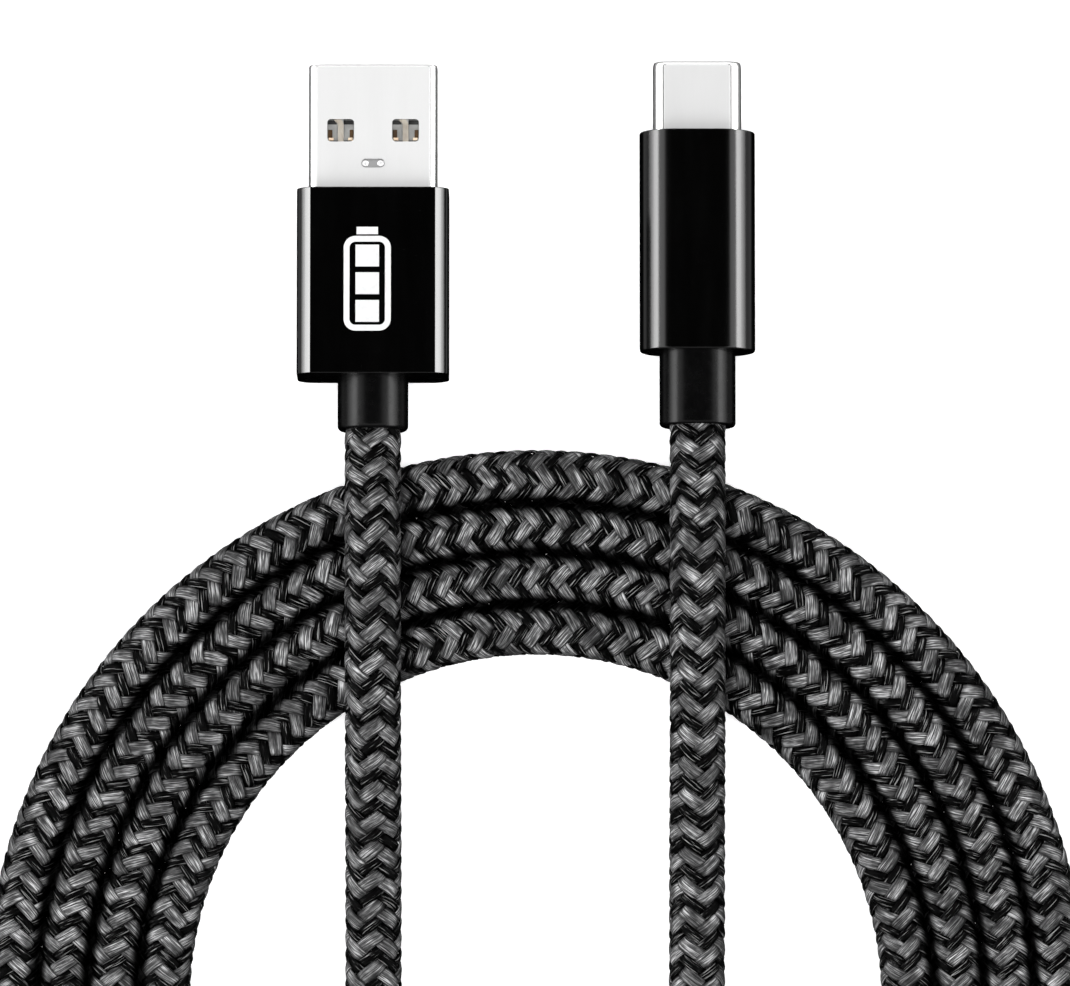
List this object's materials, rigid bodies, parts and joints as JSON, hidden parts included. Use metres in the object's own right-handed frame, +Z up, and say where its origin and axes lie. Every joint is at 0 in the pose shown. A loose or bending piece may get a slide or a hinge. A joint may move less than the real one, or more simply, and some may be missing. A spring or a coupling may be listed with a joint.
{
  "type": "charging cable",
  "caption": "Braided charging cable, wound in a flat ring, with a wide rectangular plug at one end and a slim oval plug at the other.",
  "frame": {"origin": "on the table that the cable lies on, midway across and along the two plugs without the cord", "axes": "+Y the way both plugs point, +Z up from the table, +X from the wide plug to the slim plug"},
  "size_m": [0.103, 0.1394, 0.0105],
  "materials": {
    "plated_steel": "bright nickel plate, satin",
    "contact_plating": "gold flash",
    "tongue_plastic": "moulded, pale grey",
    "core_plastic": "moulded, black",
    "black_anodised": "gloss black anodised",
    "relief_rubber": "satin black elastomer",
    "mark_ink": "white print",
    "solder": "tin solder",
    "red_insulation": "extruded PVC",
    "black_insulation": "extruded PVC",
    "green_insulation": "extruded PVC",
    "white_insulation": "extruded PVC",
    "jacket": "extruded PVC jacket",
    "shield_foil": "foil",
    "board": "glass-epoxy board, green mask",
    "resistor": "black chip",
    "braid_grey": "flat polyester yarn, satin grey",
    "braid_black": "round polyester yarn, glossy black"
  },
  "bodies": {
    "root": {"wide_plug_shell": "plated_steel", "wide_plug_tongue": "tongue_plastic", "wide_plug_contacts": "contact_plating", "wide_plug_rear_block": "tongue_plastic", "wide_plug_solder": "solder", "wide_plug_power_wire": "red_insulation", "wide_plug_ground_wire": "black_insulation", "wide_plug_data_plus_wire": "green_insulation", "wide_plug_data_minus_wire": "white_insulation", "wide_plug_jacket_end": "jacket", "wide_plug_shield_tail": "shield_foil", "wide_plug_braid_end": "braid_black", "wide_plug_crimp": "plated_steel", "wide_plug_inner_mould": "core_plastic", "wide_plug_housing": "black_anodised", "wide_plug_mark": "mark_ink", "wide_plug_strain_relief": "relief_rubber", "slim_plug_shell": "plated_steel", "slim_plug_insulator": "core_plastic", "slim_plug_upper_contacts": "contact_plating", "slim_plug_lower_contacts": "contact_plating", "slim_plug_latch_plate": "plated_steel", "slim_plug_ground_pads": "plated_steel", "slim_plug_board": "board", "slim_plug_resistor": "resistor", "slim_plug_solder": "solder", "slim_plug_shield_can": "plated_steel", "slim_plug_power_wire": "red_insulation", "slim_plug_ground_wire": "black_insulation", "slim_plug_data_plus_wire": "green_insulation", "slim_plug_data_minus_wire": "white_insulation", "slim_plug_jacket_end": "jacket", "slim_plug_shield_tail": "shield_foil", "slim_plug_braid_end": "braid_black", "slim_plug_crimp": "plated_steel", "slim_plug_inner_mould": "core_plastic", "slim_plug_housing": "black_anodised", "slim_plug_strain_relief": "relief_rubber", "cord_ring": "braid_grey", "cord_wide_tail": "braid_grey", "cord_slim_tail": "braid_grey"}
  },
  "joints": []
}
